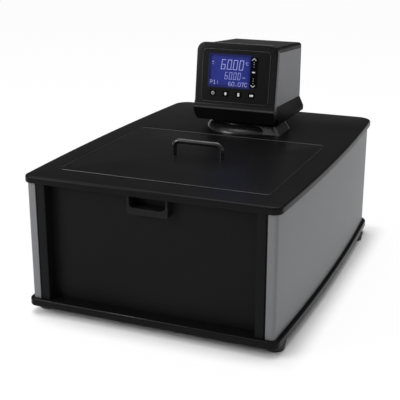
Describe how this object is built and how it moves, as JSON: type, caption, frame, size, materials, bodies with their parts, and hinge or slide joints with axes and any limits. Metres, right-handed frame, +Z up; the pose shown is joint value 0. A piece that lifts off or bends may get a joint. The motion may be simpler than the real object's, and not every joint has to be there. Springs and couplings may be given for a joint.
{
  "type": "heating circulator",
  "caption": "Heated liquid bath in a cabinet, with a flush lid and a swivelling controller head whose motor drives the circulation pump hanging in the tank.",
  "frame": {"origin": "on the floor, under the middle of the cabinet", "axes": "+X to the right seen from the front, +Y to the back where the head stands, +Z up"},
  "size_m": [0.3834, 0.5398, 0.3483],
  "materials": {
    "black_plastic": "fine satin",
    "black_gloss": "semi-gloss",
    "black_rubber": "matte",
    "black_paint": "satin",
    "black_rod": "gloss",
    "silver_sheet": "fine satin",
    "stainless": "brushed",
    "bright_steel": "bright",
    "foam": "matte",
    "motor_paint": "satin",
    "pump_plastic": "satin",
    "grey_panel": "satin",
    "window_glass": "clear",
    "display": "backlit",
    "green_board": "satin",
    "aluminium": "satin",
    "switch_plastic": "gloss",
    "key_plastic": "satin"
  },
  "bodies": {
    "bath": {"base_tray": "black_plastic", "feet": "black_rubber", "side_panel_right": "silver_sheet", "side_panel_left": "silver_sheet", "front_post_right": "black_paint", "front_post_left": "black_paint", "front_panel": "black_paint", "front_pull": "black_plastic", "rear_panel": "black_paint", "tank": "stainless", "tank_insulation": "foam", "deck_gasket": "black_rubber", "deck": "black_gloss", "lid": "black_gloss", "lid_handle": "black_rod", "lid_screws": "bright_steel", "drain_spout": "stainless", "outlet_pipe": "stainless", "return_pipe": "stainless", "port_nuts": "stainless", "swivel_base": "black_gloss", "pump_plate": "stainless", "neck_tube": "stainless", "neck_ring": "black_plastic", "pump_motor": "motor_paint", "pump_column": "stainless", "pump_housing": "pump_plastic", "heater_coil": "stainless", "temperature_probe": "stainless", "float_stem": "stainless"},
    "head": {"lower_housing": "black_plastic", "head_floor": "black_plastic", "head_cover": "black_plastic", "head_side_right": "grey_panel", "head_side_left": "grey_panel", "bezel": "black_gloss", "face_panel": "black_gloss", "display_window": "window_glass", "lcd_module": "display", "touch_strip": "black_gloss", "keypad_board": "green_board", "control_board": "green_board", "board_screws": "bright_steel", "power_board": "green_board", "transformer": "motor_paint", "heat_sink": "aluminium", "power_inlet": "black_plastic", "switch_frame": "black_plastic", "serial_socket": "bright_steel", "probe_jack": "black_plastic", "cover_screws": "bright_steel"},
    "pump_rotor": {"pump_shaft": "stainless", "impeller": "pump_plastic"},
    "level_float": {"level_float": "pump_plastic"},
    "drain_cap": {"drain_cap": "black_plastic"},
    "power_rocker": {"power_rocker": "switch_plastic"},
    "key_power": {"key_power": "key_plastic"},
    "key_stop": {"key_stop": "key_plastic"},
    "key_menu": {"key_menu": "key_plastic"},
    "key_enter": {"key_enter": "key_plastic"}
  },
  "joints": [
    {"name": "head_swivel", "type": "hinge", "parent": "bath", "child": "head", "pos_m": [0, 0.124, 0.222], "axis": [0, 0, 1], "range_deg": [-90, 90]},
    {"name": "pump_spin", "type": "hinge", "parent": "bath", "child": "pump_rotor", "pos_m": [0, 0.124, 0.1], "axis": [0, 0, 1], "continuous": true},
    {"name": "float_rise", "type": "slide", "parent": "bath", "child": "level_float", "axis": [0, 0, 1], "range_m": [0, 0.015]},
    {"name": "drain_cap_turn", "type": "hinge", "parent": "bath", "child": "drain_cap", "pos_m": [-0.118, 0.262, 0.062], "axis": [0, 1, 0], "continuous": true},
    {"name": "power_rocker_tilt", "type": "hinge", "parent": "head", "child": "power_rocker", "pos_m": [0.003, 0.2235, 0.262], "axis": [1, 0, 0], "range_deg": [-20, 0]},
    {"name": "key_power_push", "type": "slide", "parent": "head", "child": "key_power", "axis": [0, 0.9914, -0.1305], "range_m": [0, 0.0008], "stiffness_N_per_m": 400, "springref_m": -0.001},
    {"name": "key_stop_push", "type": "slide", "parent": "head", "child": "key_stop", "axis": [0, 0.9914, -0.1305], "range_m": [0, 0.0008], "stiffness_N_per_m": 400, "springref_m": -0.001},
    {"name": "key_menu_push", "type": "slide", "parent": "head", "child": "key_menu", "axis": [0, 0.9914, -0.1305], "range_m": [0, 0.0008], "stiffness_N_per_m": 400, "springref_m": -0.001},
    {"name": "key_enter_push", "type": "slide", "parent": "head", "child": "key_enter", "axis": [0, 0.9914, -0.1305], "range_m": [0, 0.0008], "stiffness_N_per_m": 400, "springref_m": -0.001}
  ]
}
